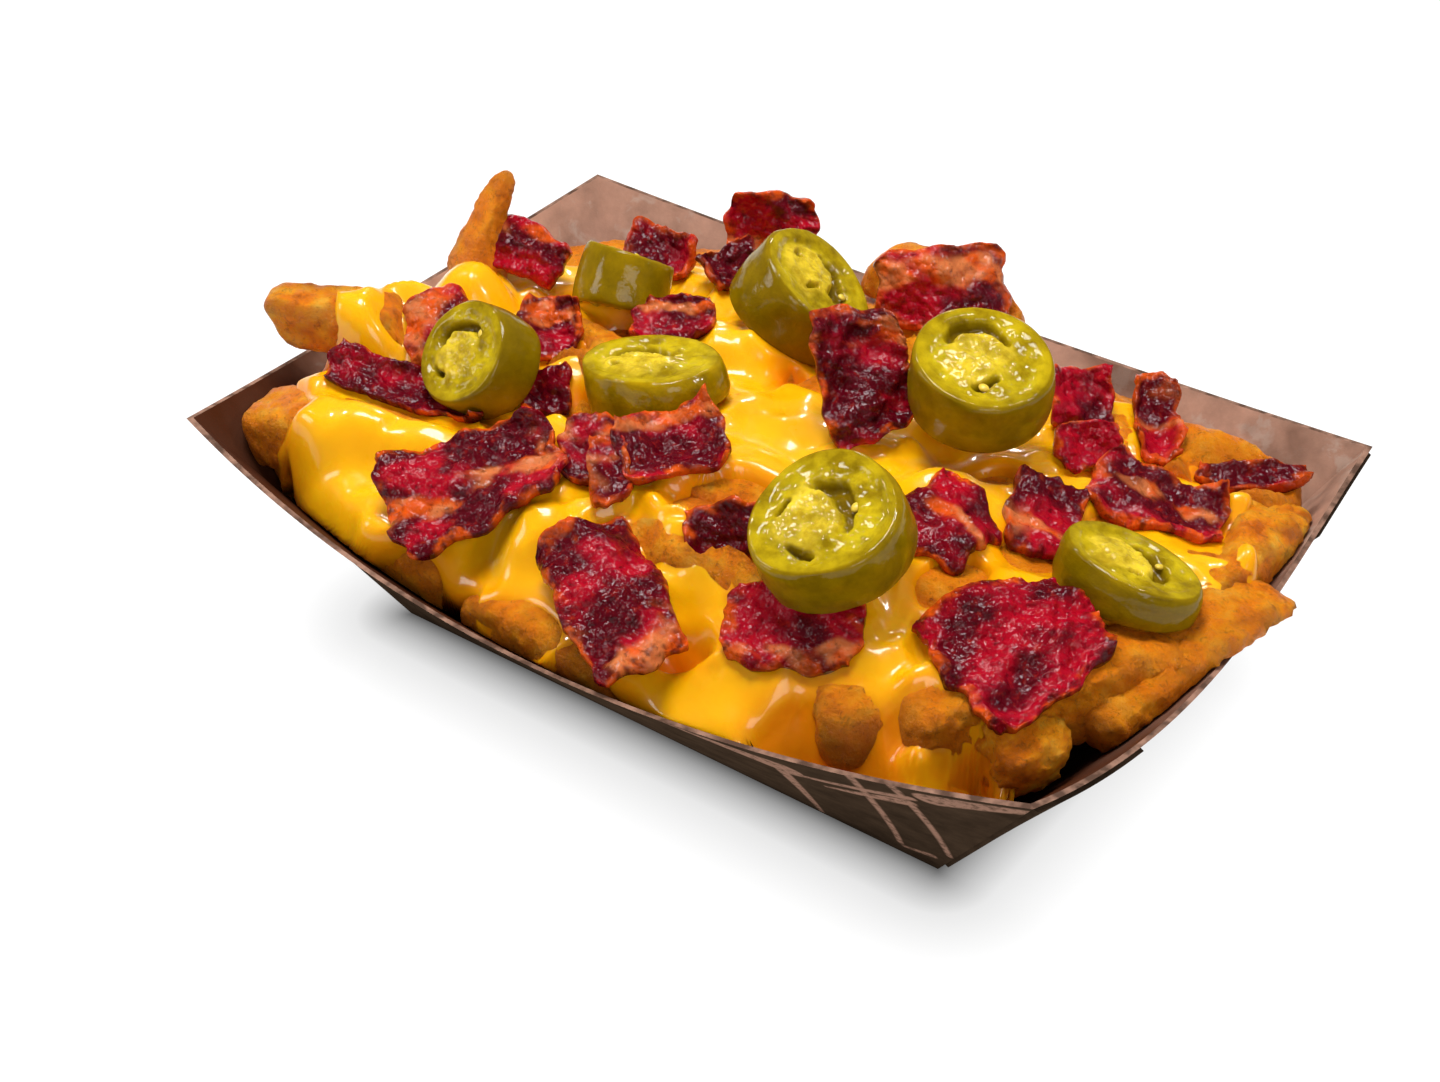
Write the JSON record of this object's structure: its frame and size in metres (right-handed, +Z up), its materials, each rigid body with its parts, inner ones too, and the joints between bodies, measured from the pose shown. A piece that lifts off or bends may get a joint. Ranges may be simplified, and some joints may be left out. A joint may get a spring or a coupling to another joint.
{
  "type": "cheese fries",
  "caption": "Folded paper food tray heaped with thick fries under melted cheese sauce, topped with glazed bacon chips and pickled jalapeno slices.",
  "frame": {"origin": "centre of the paper tray's flat underside", "axes": "+Z up, X along the tray's longer side, -Y towards the long side shown nearest in the picture"},
  "size_m": [0.1966, 0.1415, 0.0781],
  "materials": {
    "kraft_board": "brown kraft paperboard, dark printed outside, greasy matt inside",
    "fried_potato": "crisp golden orange batter with darker brown spots",
    "cheese_sauce": "smooth glossy golden yellow melted cheese",
    "jalapeno": "wet olive green skin, paler yellow green flesh",
    "bacon": "sticky glazed crimson meat with orange and pink fat"
  },
  "bodies": {
    "root": {"paper_tray": "kraft_board", "fries_heap": "fried_potato", "cheese_sauce": "cheese_sauce", "jalapeno_1": "jalapeno", "jalapeno_2": "jalapeno", "jalapeno_3": "jalapeno", "jalapeno_4": "jalapeno", "jalapeno_5": "jalapeno", "jalapeno_6": "jalapeno", "jalapeno_7": "jalapeno", "bacon_01": "bacon", "bacon_02": "bacon", "bacon_03": "bacon", "bacon_04": "bacon", "bacon_05": "bacon", "bacon_06": "bacon", "bacon_07": "bacon", "bacon_08": "bacon", "bacon_09": "bacon", "bacon_10": "bacon", "bacon_11": "bacon", "bacon_12": "bacon", "bacon_13": "bacon", "bacon_14": "bacon", "bacon_15": "bacon", "bacon_16": "bacon", "bacon_17": "bacon", "bacon_18": "bacon", "bacon_19": "bacon", "bacon_20": "bacon", "bacon_21": "bacon", "bacon_22": "bacon", "bacon_23": "bacon", "bacon_24": "bacon", "bacon_25": "bacon", "bacon_26": "bacon"}
  },
  "joints": []
}
